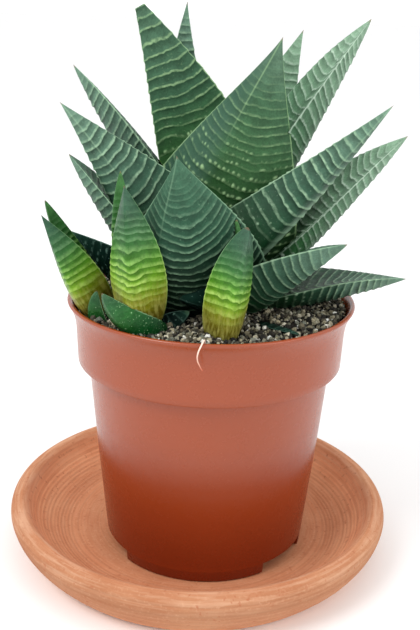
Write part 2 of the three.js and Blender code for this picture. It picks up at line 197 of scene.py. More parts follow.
def blend(add, share, first, second, how="MIX"):
    """The second colour laid over the first by a share."""
    mixer = add("Mix", {"data_type": "RGBA", "blend_type": how}, i0=share, i6=first, i7=second)
    return mixer.outputs[2]


def reckon(add, how, first, second=0.0, clamp=False):
    """One step of arithmetic on values of the surface."""
    return add("Math", {"operation": how, "use_clamp": clamp}, i0=first, i1=second).outputs[0]


def new_piece(name, mesh, material, slot, *nodes):
    """A finished mesh as a piece that rides on the one body and stands for its CAD nodes."""
    piece = bpy.data.objects.new(name, mesh)
    bpy.context.collection.objects.link(piece)
    mesh.materials.clear()
    mesh.materials.append(material)
    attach(piece, "root")
    if nodes:
        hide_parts(*nodes)
    return piece


def smooth_mesh(name, form):
    """A bmesh as a mesh with smooth faces that all point out."""
    bmesh.ops.recalc_face_normals(form, faces=form.faces)
    mesh = bpy.data.meshes.new(name)
    form.to_mesh(mesh)
    form.free()
    mesh.shade_smooth()
    return mesh


def fine_profile(points, spacing):
    """Points of a smooth curve through a profile, the same distance apart."""
    points = np.array(points, float)
    knots = np.concatenate([[0], np.cumsum(np.hypot(*np.diff(points, axis=0).T))])
    slopes = np.gradient(points, knots, axis=0)
    places = np.linspace(0, knots[-1], int(knots[-1] / spacing) + 1)
    index = np.clip(np.searchsorted(knots, places, "right") - 1, 0, len(knots) - 2)
    step = (knots[index + 1] - knots[index])[:, None]
    t = ((places - knots[index])[:, None]) / step
    a, b = points[index], points[index + 1]
    p, q = slopes[index] * step, slopes[index + 1] * step
    return (
        a * (2 * t**3 - 3 * t**2 + 1)
        + p * (t**3 - 2 * t**2 + t)
        + b * (3 * t**2 - 2 * t**3)
        + q * (t**3 - t**2)
    )


def spun(profile, steps, centre=(0, 0)):
    """A profile of (radius, height) in millimetres spun round the upright through a centre."""
    form = bmesh.new()
    corners = [form.verts.new((r * MM, 0, z * MM)) for r, z in profile]
    edges = [form.edges.new(pair) for pair in zip(corners, corners[1:])]
    bmesh.ops.spin(
        form, geom=corners + edges, cent=(0, 0, 0), axis=(0, 0, 1), angle=2 * pi, steps=steps,
        use_merge=True,
    )
    bmesh.ops.remove_doubles(form, verts=form.verts, dist=1e-6)
    bmesh.ops.translate(form, verts=form.verts, vec=(centre[0] * MM, centre[1] * MM, 0))
    return form


saucer_curve = [(0.0, 0.0), (30.0, 0.0), (52.6, 0.0)]
for radius, height in fine_profile(SAUCER_PROFILE, 0.3):
    if TURNED_FROM < radius < TURNED_TO and TURNED_ABOVE < height < TURNED_BELOW:
        ripple = sin(2 * pi * radius / TURNING_PITCH) * TURNING_DEPTH
        ring = STEP_HEIGHT * np.exp(-(((radius - STEP_RADIUS) / STEP_WIDTH) ** 2))
        faded = min(1, (radius - TURNED_FROM) / 2) * min(1, (TURNED_TO - radius) / 1.5)
        height += (ripple + ring) * faded
    saucer_curve.append((radius, height))
saucer_curve += [(30.0, SAUCER_FLOOR), (12.0, SAUCER_FLOOR), (0.0, SAUCER_FLOOR)]
saucer_mesh = smooth_mesh("saucer_clay", spun(saucer_curve, SAUCER_STEPS))

clay, add, link = finish("fired_clay", 0.92, 0.25)
place = add("TexCoord").outputs["Object"]
parts = add("SeparateXYZ", Vector=place)
height = parts.outputs[2]
across = reckon(add, "MULTIPLY", parts.outputs[0], parts.outputs[0])
across = reckon(add, "ADD", across, reckon(add, "MULTIPLY", parts.outputs[1], parts.outputs[1]))
radius = reckon(add, "SQRT", across)
ring_place = add("CombineXYZ", X=radius, Z=height).outputs[0]
clay_colour = ramp(
    add,
    noise(add, place, 55.0, 6.0, 0.6),
    [(0.3, paint(184, 123, 87)), (0.5, paint(192, 132, 96)), (0.7, paint(198, 142, 105))],
)
# Painted light and shade: this ramp over the radius lightens the inside wall, which lies in the rim's
# shade, and darkens the outer rim, which takes the most light.
painted_light_and_shade = ramp(
    add,
    reckon(add, "MULTIPLY", radius, 1000 / SAUCER_RAMP_REACH),
    [
        (0.74, (1.02, 0.94, 0.91, 1)), (0.81, grey(1.28)), (0.85, grey(1.5)), (0.885, grey(1.45)),
        (0.92, grey(1.06)), (0.985, grey(0.83)),
    ],
)
clay_colour = blend(add, 1.0, clay_colour, painted_light_and_shade, "MULTIPLY")
rings = ramp(add, noise(add, ring_place, 900.0, 4.0, 0.7), [(0.36, grey(0.84)), (0.64, grey(1.05))])
clay_colour = blend(add, 0.85, clay_colour, rings, "MULTIPLY")
flat_place = add("CombineXYZ", X=parts.outputs[0], Y=parts.outputs[1]).outputs[0]
round_place = add("VectorMath", {"operation": "NORMALIZE"}, i0=flat_place).outputs[0]
round_place = add("VectorMath", {"operation": "SCALE"}, i0=round_place, Scale=STREAK_TURN).outputs[0]
raised = add("CombineXYZ", Z=reckon(add, "MULTIPLY", height, STREAK_FINE)).outputs[0]
streak = add(
    "TexNoise", {"noise_dimensions": "4D"}, Detail=4.0, Roughness=0.6, Scale=1.0,
    Vector=add("VectorMath", {"operation": "ADD"}, i0=round_place, i1=raised).outputs[0],
    W=reckon(add, "MULTIPLY", radius, STREAK_FINE),
).outputs["Fac"]
chalk = ramp(add, streak, [(0.46, grey(0)), (0.66, grey(1))])
level = reckon(add, "MULTIPLY", height, 1000 / SAUCER_RAMP_HEIGHT)
on_rim = ramp(add, level, [(0.55, grey(0.08)), (0.85, grey(0.42))])
clay_colour = blend(add, reckon(add, "MULTIPLY", chalk, on_rim), clay_colour, paint(220, 180, 150))
worn = ramp(add, streak, [(0.32, grey(1)), (0.5, grey(0))])
clay_colour = blend(add, reckon(add, "MULTIPLY", worn, 0.22), clay_colour, paint(168, 98, 64))
specks = ramp(add, noise(add, place, 700.0, 2.0, 0.5), [(0.62, grey(0)), (0.74, grey(1))])
clay_colour = blend(add, reckon(add, "MULTIPLY", specks, 0.6), clay_colour, paint(164, 96, 64))
dust = ramp(add, noise(add, place, 1100.0, 2.0, 0.5), [(0.56, grey(0)), (0.72, grey(0.16))])
clay_colour = blend(add, dust, clay_colour, paint(222, 178, 146))
link(clay_colour, "Base Color")
ring_grain = noise(add, ring_place, 1100.0, 2.0, 0.5)
grain = reckon(add, "ADD", noise(add, place, 1400.0, 3.0, 0.6), ring_grain)
link(add("Bump", Height=grain, Distance=0.00012, Strength=0.5).outputs[0], "Normal")
new_piece("saucer_clay", saucer_mesh, clay, "clay", "saucer")

# Pot
# A thin nursery pot moulded in terracotta-coloured plastic, satin outside, with a tall collar that
# flares to the rim, and a foot ring in three parts with drain holes above the gaps.
POT_CENTRE = (2.4, -5.0)
POT_STEPS = 180
POT_RAMP_HEIGHT = 90
POT_UNDERSIDE = [(0.0, 9.6), (30.9, 9.6), (31.4, 9.4), (31.5, 9.0), (31.6, 5.7), (31.9, 5.5)]
POT_OUTSIDE = [
    (32.6, 5.5), (32.8, 5.8), (33.05, 8.9), (33.12, 9.05), (33.12, 9.2), (33.1, 9.35), (33.3, 11.0),
    (36.0, 39.0), (38.5, 67.6), (38.65, 68.15), (39.0, 68.45), (41.2, 68.5), (41.65, 68.65), (41.9, 69.05),
    (42.0, 71.1), (42.33, 80.0), (42.6, 82.2), (43.1, 84.4), (43.9, 86.3), (44.55, 87.4), (44.88, 87.95),
    (44.98, 88.25), (44.88, 88.55), (44.6, 88.75), (44.2, 88.8), (43.8, 88.7), (43.5, 88.4),
]
POT_INSIDE = [
    (42.3, 85.2), (41.3, 80.5), (40.6, 71.1), (40.5, 69.9), (37.3, 67.7), (37.0, 65.1), (32.0, 12.0),
    (31.4, 11.0), (0.0, 11.0),
]
FOOT_GAPS = (54, 174, 294)
FOOT_GAP_TURN = 37
FOOT_GAP_STEPS = 6
FOOT_GAP_INNER = 24
FOOT_GAP_OUTER = 37
FOOT_GAP_BOTTOM = 5.0
FOOT_GAP_RISE = 4.1
DRAIN_PLACE = 27.0
DRAIN_LEVEL = 10.3
DRAIN_RADIUS = 3.0
DRAIN_DEPTH = 6.0
SHARP_EDGE = 38

pot_curve = POT_UNDERSIDE + POT_OUTSIDE + POT_INSIDE
pot_mesh = smooth_mesh("pot_plastic", spun(pot_curve, POT_STEPS, POT_CENTRE))


def round_the_pot(turn, distance, height):
    """A place at a turn in degrees from the front to the right, and a distance from the pot's axis."""
    angle = radians(turn - 90)
    across, along = POT_CENTRE
    return Vector((across + distance * cos(angle), along + distance * sin(angle), height)) * MM


def combine(mesh, other, how, solver):
    """Two closed meshes cut or joined."""
    pair = [bpy.data.objects.new("pair", item) for item in (mesh, other)]
    for item in pair:
        bpy.context.collection.objects.link(item)
    modifier = pair[0].modifiers.new("combine", "BOOLEAN")
    modifier.operation = how
    modifier.solver = solver
    modifier.object = pair[1]
    view = bpy.context.evaluated_depsgraph_get()
    result = bpy.data.meshes.new_from_object(pair[0].evaluated_get(view))
    for item in pair:
        bpy.data.objects.remove(item)
    return result


def foot_gap_edge(turn, distance):
    """The corners of a foot gap's cutter along one distance from the pot's axis."""
    turns = [turn + FOOT_GAP_TURN * (i / FOOT_GAP_STEPS - 0.5) for i in range(FOOT_GAP_STEPS + 1)]
    return [round_the_pot(t, distance, FOOT_GAP_BOTTOM) for t in turns]


gap_form = bmesh.new()
drain_form = bmesh.new()
for turn in FOOT_GAPS:
    border = foot_gap_edge(turn, FOOT_GAP_OUTER) + foot_gap_edge(turn, FOOT_GAP_INNER)[::-1]
    face = gap_form.faces.new([gap_form.verts.new(p) for p in border])
    grown = bmesh.ops.extrude_face_region(gap_form, geom=[face])
    lifted = [item for item in grown["geom"] if isinstance(item, bmesh.types.BMVert)]
    bmesh.ops.translate(gap_form, verts=lifted, vec=(0, 0, FOOT_GAP_RISE * MM))
    hole = bmesh.ops.create_cone(
        drain_form, cap_ends=True, segments=28, radius1=DRAIN_RADIUS * MM, radius2=DRAIN_RADIUS * MM,
        depth=DRAIN_DEPTH * MM,
    )
    bmesh.ops.translate(drain_form, verts=hole["verts"], vec=round_the_pot(turn, DRAIN_PLACE, DRAIN_LEVEL))
for cutter in (smooth_mesh("foot_gaps", gap_form), smooth_mesh("drain_holes", drain_form)):
    pot_mesh = combine(pot_mesh, cutter, "DIFFERENCE", "EXACT")
pot_mesh.shade_smooth()
pot_mesh.set_sharp_from_angle(angle=radians(SHARP_EDGE))

plastic, add, link = finish("pot_plastic", 0.25)
place = add("TexCoord").outputs["Object"]
level = reckon(add, "MULTIPLY", add("SeparateXYZ", Vector=place).outputs[2], 1000 / POT_RAMP_HEIGHT)
# Painted shade: the body's colour darkens towards the foot, where the lower wall takes less light.
body_colour_with_painted_shade = ramp(
    add,
    level,
    [
        (0.06, paint(116, 39, 12)), (0.3, paint(126, 46, 18)), (0.46, paint(136, 54, 20)),
        (0.6, paint(147, 62, 22)),
    ],
)
patches = ramp(add, noise(add, place, 30.0, 3.0, 0.5), [(0.35, grey(0.95)), (0.65, grey(1.0))])
link(blend(add, 1.0, body_colour_with_painted_shade, patches, "MULTIPLY"), "Base Color")
link(ramp(add, level, [(0.43, grey(0.18)), (0.54, grey(0.62))]), "Specular IOR Level")
scuffs = noise(add, place, 260.0, 6.0, 0.65)
link(ramp(add, scuffs, [(0.35, grey(0.22)), (0.7, grey(0.31))]), "Roughness")
dents = reckon(add, "ADD", noise(add, place, 90.0, 3.0, 0.5), reckon(add, "MULTIPLY", scuffs, 0.15))
link(add("Bump", Height=dents, Distance=0.0002, Strength=0.35).outputs[0], "Normal")
new_piece("pot_shell", pot_mesh, plastic, "pot_plastic", "pot")

# Soil
# Peaty potting soil mixed with crushed pumice and grit: a dark bed whose top is covered with angular
# grains of half a millimetre to two millimetres, brown, grey, tan and a few white.
SOIL_RADIUS = 42.5
BED_RADIUS = 40.9
LOWEST_GROUND = 84
ABOVE_SOIL = 95
RIM_RISE = 0.6
RIM_RISE_FROM = 37
RIM_RISE_WIDTH = 5
HEAP_HEIGHT = 1.1
HEAP_FROM = 28
HEAP_WIDTH = 14
SMALLEST_GRAIN = 0.3
GRAIN_SPREAD = 0.75
GRAIN_DOUBLINGS = 13
GRAIN_SEED = 11
LEAF_REACH = 3

earth, add, link = finish("potting_soil", 0.95, 0.2)
place = add("TexCoord").outputs["Object"]
link(
    ramp(
        add,
        noise(add, place, 900.0, 4.0, 0.6),
        [(0.35, paint(12, 10, 8)), (0.5, paint(26, 21, 18)), (0.65, paint(48, 40, 33))],
    ),
    "Base Color",
)
link(add("Bump", Height=noise(add, place, 1300.0, 4.0, 0.6), Distance=0.0006).outputs[0], "Normal")
soil_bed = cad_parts["soil"]
soil_bed.data.materials.clear()
soil_bed.data.materials.append(earth)


def tree_of(names):
    """A search tree over the meshes of some CAD nodes."""
    corners, faces = [], []
    for name in names:
        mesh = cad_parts[name].data
        first = len(corners)
        corners += [v.co.copy() for v in mesh.vertices]
        faces += [[first + i for i in face.vertices] for face in mesh.polygons]
    return BVHTree.FromPolygons(corners, faces)


leaf_nodes = [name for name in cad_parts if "leaf" in name or name == "stem"]
soil_tree = tree_of(["soil"])
leaf_tree = tree_of(leaf_nodes)
chance = np.random.default_rng(GRAIN_SEED)
above_pot = Vector((*POT_CENTRE, ABOVE_SOIL))
spots, sizes = [], []
while len(spots) < 2**GRAIN_DOUBLINGS:
    turn = chance.uniform(0, 2 * pi)
    reach = SOIL_RADIUS * chance.uniform() ** 0.4
    size = SMALLEST_GRAIN + GRAIN_SPREAD * chance.uniform() ** 2.6
    around = Vector((cos(turn), sin(turn), 0))
    start = (above_pot + around * min(reach, BED_RADIUS)) * MM
    ground = soil_tree.ray_cast(start, Vector((0, 0, -1)))[0]
    if reach > SOIL_RADIUS - size or ground is None or ground.z < LOWEST_GROUND * MM:
        continue
    spot = ground + around * max(reach - BED_RADIUS, 0) * MM
    rim_rise = RIM_RISE * max(reach - RIM_RISE_FROM, 0) / RIM_RISE_WIDTH
    heap = HEAP_HEIGHT * max(-sin(turn), 0) ** 3 * max(reach - HEAP_FROM, 0) / HEAP_WIDTH
    spot.z += (chance.uniform(-0.2, 0.9) * size + chance.uniform(0.3, 1) * (rim_rise + heap)) * MM
    near, out, _, gap = leaf_tree.find_nearest(spot, LEAF_REACH * MM)
    if near is not None and (gap < 0.6 * size * MM or (spot - near).dot(out) < 0):
        continue
    spots.append(spot)
    sizes.append(size * MM)

grain_form = bmesh.new()
bmesh.ops.create_icosphere(grain_form, subdivisions=1, radius=1)
for _ in range(GRAIN_DOUBLINGS):
    bmesh.ops.duplicate(grain_form, geom=grain_form.verts[:] + grain_form.edges[:] + grain_form.faces[:])
grain_mesh = bpy.data.meshes.new("soil_grains")
grain_form.to_mesh(grain_mesh)
grain_form.free()
count = len(spots)
lumps = np.empty(len(grain_mesh.vertices) * 3)
grain_mesh.vertices.foreach_get("co", lumps)
lumps = lumps.reshape(count, -1, 3) * chance.uniform(0.66, 1.2, (count, len(lumps) // (3 * count), 1))
lumps *= chance.uniform(0.7, 1.2, (count, 1, 3)) * np.array(sizes)[:, None, None]
turns = np.linalg.qr(chance.normal(size=(count, 3, 3)))[0]
turns *= np.sign(np.linalg.det(turns))[:, None, None]
lumps = np.einsum("nij,nkj->nki", turns, lumps) + np.array(spots)[:, None, :]
grain_mesh.vertices.foreach_set("co", lumps.ravel())
shades = grain_mesh.attributes.new("shade", "FLOAT", "POINT")
shades.data.foreach_set("value", np.repeat(chance.uniform(size=count), lumps.shape[1]).astype(np.float32))

grit, add, link = finish("soil_grit", 0.9, 0.3)
place = add("TexCoord").outputs["Object"]
shade = add("Attribute", {"attribute_name": "shade"}).outputs["Fac"]
grit_colour = ramp(
    add,
    shade,
    [
        (0.0, paint(22, 21, 19)), (0.26, paint(48, 45, 40)), (0.42, paint(88, 82, 68)),
        (0.56, paint(138, 130, 106)), (0.7, paint(112, 116, 106)), (0.84, paint(172, 162, 134)),
        (0.94, paint(204, 198, 178)), (0.99, paint(234, 234, 228)),
    ],
)
grit_dirt = ramp(add, noise(add, place, 1800.0, 3.0), [(0.3, grey(0.55)), (0.7, grey(1.15))])
grit_colour = blend(add, 0.8, grit_colour, grit_dirt, "MULTIPLY")
link(grit_colour, "Base Color")
link(add("Bump", Height=noise(add, place, 2600.0, 3.0), Distance=0.0003).outputs[0], "Normal")
new_piece("soil_grains", grain_mesh, grit, "soil")

# Stem
# The short fleshy stem, rooted in the soil. The leaves of the rosette grow from it one above the
# other, and their bases hide it.
flesh, add, link = finish("stem_flesh", 0.6, 0.4)
place = add("TexCoord").outputs["Object"]
stem_colour = [(0.3, paint(92, 104, 58)), (0.7, paint(150, 150, 96))]
link(ramp(add, noise(add, place, 200.0, 4.0), stem_colour), "Base Color")
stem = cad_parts["stem"]
stem.data.materials.clear()
stem.data.materials.append(flesh)

# Small leaves at the foot
# Thin, nearly smooth leaves of two younger offsets that just show above the soil, and the dark tip of
# a leaf that has fallen on it.
LEAF_AIR = 0.25
ROOM_STEPS = {"row_step": 1.6, "column_step": 2.4}
CUT_EDGE = 62
FACE_TILT = pi / 6
BACK_SHIFT = 40
RIDGE_CREST = 0.72
RIDGE_DROP = 0.28
YOUNG_SEED = 180
SEED_STEP = 4

# A leaf bows to its back and to the side and twists towards the tip. It is widest where full and taper
# balance, has its keel at a share of the width, a hollow face, and ends at a share of its length.
ROSETTE = {
    "bow": 3, "side": 0, "twist": 0, "full": 0.25, "taper": 1.05, "keel": 0, "hollow": 0.15, "end": 1,
}
OFFSET = {**ROSETTE, "bow": 2, "full": 0.4, "taper": 0.8}


def leaf(root, tip, back, width, thick, kind=ROSETTE, **changes):
    """The sizes of one leaf. Its back faces a turn in degrees, counted from the right to the rear."""
    return {**kind, "root": root, "tip": tip, "back": back, "width": width, "thick": thick, **changes}


# The ridges lie a pitch apart, closer near the tip. They arc, drift, waver and slant across the leaf,
# break into pearls below the share called dots, and fade out over the plain tip and the plain root.
RIDGES = {
    "pitch": 2.9, "tip_pitch": 1.8, "fade": 8.0, "arc": 1.2, "drift": 0.35, "wave": 0.22, "ripple": 0.07,
    "slant": 0, "dots": 0.3, "dot_step": 1.65, "dot_size": 0.48, "height": 0.48, "plain_tip": 14.0,
    "plain_root": (0.04, 0.12), "edge": 0.32, "grow": 0, "teeth": 0.5, "row_step": 0.34,
    "column_step": 0.7,
}
PUP_RIDGES = {
    **RIDGES, "pitch": 2.15, "tip_pitch": 1.5, "fade": 6.0, "arc": -1.1, "wave": 0.34, "ripple": 0.2,
    "dots": 0.0, "height": 0.34, "plain_tip": 19.0, "plain_root": (0.24, 0.5), "edge": 0.25,
    "teeth": 0.22, "row_step": 0.26, "column_step": 0.5,
}
YOUNG_LEAVES = {
    "young_leaf_left": leaf(
        (-10.5, -33.8, 86), (-28, -36.8, 98.2), -100, 12, 3, OFFSET, bow=1.8, side=-1.5,
    ),
    "young_leaf_far_left": leaf((-28.5, -22.5, 83), (-30.9, -26, 95.5), -150, 8, 3, OFFSET, bow=1),
    "young_leaf_middle": leaf((-11.5, -27, 86), (-3.7, -28, 90.8), -100, 6.5, 3, OFFSET, bow=0.5),
    "fallen_leaf_tip": leaf((17, -25.5, 87.2), (28, -36.3, 87.8), -45, 3.5, 1.6, OFFSET, bow=0, hollow=0),
}


def outline(shape, s):
    """Half the width at a share s of the length, as a share of the greatest half width."""
    shoulder = 0.03

    def raw(t):
        return (np.maximum(t, 0) + shoulder) ** shape["full"] * np.maximum(1 - t, 0) ** shape["taper"]

    widest = max((shape["full"] - shape["taper"] * shoulder) / (shape["full"] + shape["taper"]), 0)
    return raw(s) / raw(widest)


def soft_noise(x, y, seed):
    """Smooth random values from -1 to 1 over a plane, the same on every run."""
    lattice = np.random.default_rng(seed).uniform(-1, 1, (64, 64))
    column, row = np.floor(x).astype(int), np.floor(y).astype(int)
    u, v = x - column, y - row
    u, v = u * u * (3 - 2 * u), v * v * (3 - 2 * v)
    corners = [lattice[(column + i) % 64, (row + j) % 64] for i in (0, 1) for j in (0, 1)]
    return (corners[0] * (1 - v) + corners[1] * v) * (1 - u) + (corners[2] * (1 - v) + corners[3] * v) * u


def unit(vectors):
    """The same directions, one long."""
    return vectors / np.linalg.norm(vectors, axis=-1, keepdims=True)


def dot(a, b):
    """The dot product of each pair of vectors."""
    return np.sum(a * b, axis=-1, keepdims=True)


def smooth_share(value, low, high):
    """A soft step from 0 at low to 1 at high."""
    t = np.clip((value - low) / (high - low), 0, 1)
    return t * t * (3 - 2 * t)


def leaf_mesh(name, shape, ridges, seed):
    """One leaf: a tube of fine rows closed at root and tip, shaped by formula, with its ridges."""
    root, tip = np.array(shape["root"], float), np.array(shape["tip"], float)
    chord = tip - root
    length = np.linalg.norm(chord)
    lengthwise = chord / length
    back = radians(shape["back"])
    inward = unit(np.array([-cos(back), -sin(back), np.tan(FACE_TILT)]))
    facing = unit(inward - dot(inward, lengthwise) * lengthwise)
    sideways = np.cross(facing, lengthwise)

    rows = int(length * shape["end"] / ridges["row_step"])
    columns = int(max(2 * shape["width"] / ridges["column_step"], 36)) // 2 * 2
    form = bmesh.new()
    bmesh.ops.create_grid(form, x_segments=columns, y_segments=rows, size=0.5)
    mesh = bpy.data.meshes.new(name)
    form.to_mesh(mesh)
    form.free()
    grid = np.empty(len(mesh.vertices) * 3)
    mesh.vertices.foreach_get("co", grid)
    grid = grid.reshape(-1, 3)
    s = (grid[:, 1] + 0.5) * shape["end"]

    # The back takes the first half of the way round, the face the second. The columns lie closer at
    # the margins, and one of them follows the keel.
    way = (grid[:, 0] + 0.5) * 2
    on_back = way < 1
    way = np.where(on_back, way, 2 - way)
    keel = shape["keel"]
    left = (2 * np.minimum(way, 0.5)) ** 1.35
    right = (2 * np.minimum(1 - way, 0.5)) ** 1.35
    u = np.where(way < 0.5, -1 + (keel + 1) * left, 1 - (1 - keel) * right)

    # Ridges follow lines of one distance from the tip, closer together near it, made wavy. Each rises
    # gently from the tip's side to its crest and drops behind it. Towards the root they break into pearls.
    share = outline(shape, s)
    half = (shape["width"] / 2 + ridges["grow"]) * share
    from_tip = np.sqrt(np.maximum(((1 - s) * length) ** 2 + ridges["arc"] * (half * u) ** 2, 0.01))
    inside = 1 - u**4
    over_mm = u * half
    beside = over_mm + BACK_SHIFT * on_back
    wave = soft_noise(beside / 4.5, from_tip / 7.0, seed) * inside
    ripple = soft_noise(beside / 1.15, from_tip / 2.6, seed + 1) * inside
    closer = ridges["fade"] * (1 / ridges["tip_pitch"] - 1 / ridges["pitch"])
    phase = from_tip / ridges["pitch"] + closer * (1 - np.exp(-from_tip / ridges["fade"]))
    phase += ridges["drift"] * soft_noise(beside / 30, from_tip / 6.5, seed + 6)
    phase += (
        ridges["wave"] * wave
        + ridges["ripple"] * ripple
        + ridges["slant"] * over_mm * inside / ridges["pitch"]
    )
    row = np.floor(phase)
    saw = phase - row
    drop = 0.5 + 0.5 * np.cos(pi * (saw - RIDGE_CREST) / RIDGE_DROP)
    rise = np.where(saw < RIDGE_CREST, (saw / RIDGE_CREST) ** 1.8, drop)
    column = beside / ridges["dot_step"] + 0.37 * row + 0.6 * soft_noise(beside / 3.1, row * 3.7, seed + 2)
    pearl_number = np.round(column)
    pearl_height = 0.75 + 0.75 * soft_noise(pearl_number * 1.7, row * 2.3, seed + 4)
    crest_place = 0.6 + 0.1 * soft_noise(pearl_number * 2.9, row * 1.9, seed + 5)
    aside = (column - pearl_number) * ridges["dot_step"]
    ahead = (saw - crest_place) * ridges["pitch"]
    pearl = pearl_height * np.exp(-(aside**2 + ahead**2) / ridges["dot_size"] ** 2)
    patchy = 0.72 + 0.28 * soft_noise(beside / 2.5, from_tip / 2.9 + 7, seed + 3)
    whole = patchy * (0.9 + 0.1 * np.cos(2 * pi * column))
    broken = smooth_share(s + 0.06 * wave, ridges["dots"] + 0.08, ridges["dots"] - 0.08)
    limits = smooth_share((1 - s) * length, 0, ridges["plain_tip"]) * smooth_share(s, *ridges["plain_root"])
    strength = whole * (1 - 0.7 * broken) * limits
    pearl = pearl * broken * limits
    raised = ridges["height"] * (rise * strength + 1.2 * pearl) * (1 - 0.8 * np.abs(u) ** 8)
    raised = np.where(on_back, raised, 0.75 * raised)

    swell = 4 * s * (1 - s)
    slope = 4 * (1 - 2 * s)
    bow, side = shape["bow"], shape["side"]
    straight = root + chord * s[:, None]
    middle = straight - facing * (bow * swell)[:, None] + sideways * (side * swell)[:, None]
    run = unit(chord - facing * (bow * slope)[:, None] + sideways * (side * slope)[:, None])
    face = unit(facing - dot(run, facing) * run)
    over = np.cross(face, run)
    turn = np.radians(shape["twist"] * s)[:, None]
    over, face = over * np.cos(turn) + face * np.sin(turn), face * np.cos(turn) - over * np.sin(turn)

    depth = -shape["hollow"] * half * (1 - u * u)
    edge = ridges["edge"] * np.minimum(1, 3 * share) * np.sqrt(np.maximum(1 - u**6, 0))
    from_keel = np.where(u > keel, (u - keel) / (1 - keel), (keel - u) / (1 + keel))
    bulge = shape["thick"] * np.maximum(share, 0) ** 0.8 * (1 - from_keel ** (2 - 0.85 * s))
    depth = np.where(on_back, depth - bulge - edge - raised, depth + edge + raised)
    teeth = ridges["teeth"] * rise * strength * np.abs(u) ** 10 * np.sign(u) * np.minimum(1, 2 * share)
    points = middle + over * (half * u + teeth)[:, None] + face * depth[:, None]
    mesh.vertices.foreach_set("co", (points * MM).ravel())

    values = {
        "ridge": phase, "along": s, "across": u, "on_back": on_back.astype(float), "strength": strength,
        "pearl": pearl, "off_keel": (u - keel) * half, "over_mm": over_mm, "along_mm": s * length,
    }
    for key, value in values.items():
        layer = mesh.attributes.new(key, "FLOAT", "POINT")
        layer.data.foreach_set("value", value.astype(np.float32))

    form = bmesh.new()
    form.from_mesh(mesh)
    open_ends = [v for v in form.verts if v.is_boundary]
    bmesh.ops.remove_doubles(form, verts=open_ends, dist=4e-6)
    open_edges = [e for e in form.edges if e.is_boundary]
    bmesh.ops.holes_fill(form, edges=open_edges, sides=0)
    bmesh.ops.triangulate(form, faces=[f for f in form.faces if len(f.verts) > 4])
    bmesh.ops.recalc_face_normals(form, faces=form.faces)
    form.to_mesh(mesh)
    form.free()
    mesh.shade_smooth()
    return mesh


def guard_mesh(name, shape, ridges):
    """The room of a leaf: its plain form with some air round it, which later leaves keep out of."""
    edge = ridges["edge"] + ridges["height"] + LEAF_AIR
    plain = {**ridges, **ROOM_STEPS, "height": 0, "edge": edge, "grow": LEAF_AIR, "teeth": 0}
    return leaf_mesh(name, shape, plain, 0)


def keep_largest(mesh):
    """The mesh without the crumbs that a cut leaves: only its largest connected part stays."""
    form = bmesh.new()
    form.from_mesh(mesh)
    waiting, parts = set(form.verts), []
    while waiting:
        front = [waiting.pop()]
        part = set(front)
        while front:
            near = {e.other_vert(v) for v in front for e in v.link_edges} - part
            part |= near
            front = list(near)
        waiting -= part
        parts.append(part)
    parts.sort(key=len)
    for part in parts[:-1]:
        bmesh.ops.delete(form, geom=list(part), context="VERTS")
    form.to_mesh(mesh)
    form.free()
    return mesh


taken_room = []


def grow_leaf(name, shape, ridges, seed):
    """A leaf that stands clear of the leaves grown before it."""
    mesh = leaf_mesh(name, shape, ridges, seed)
    guard = guard_mesh(name + "_room", shape, ridges)
    if not taken_room:
        taken_room.append(guard)
        return mesh
    cut = keep_largest(combine(mesh, taken_room[0], "DIFFERENCE", "MANIFOLD"))
    taken_room[0] = combine(taken_room[0], guard, "UNION", "MANIFOLD")
    cut.name = name
    cut.shade_smooth()
    cut.set_sharp_from_angle(angle=radians(CUT_EDGE))
    return cut


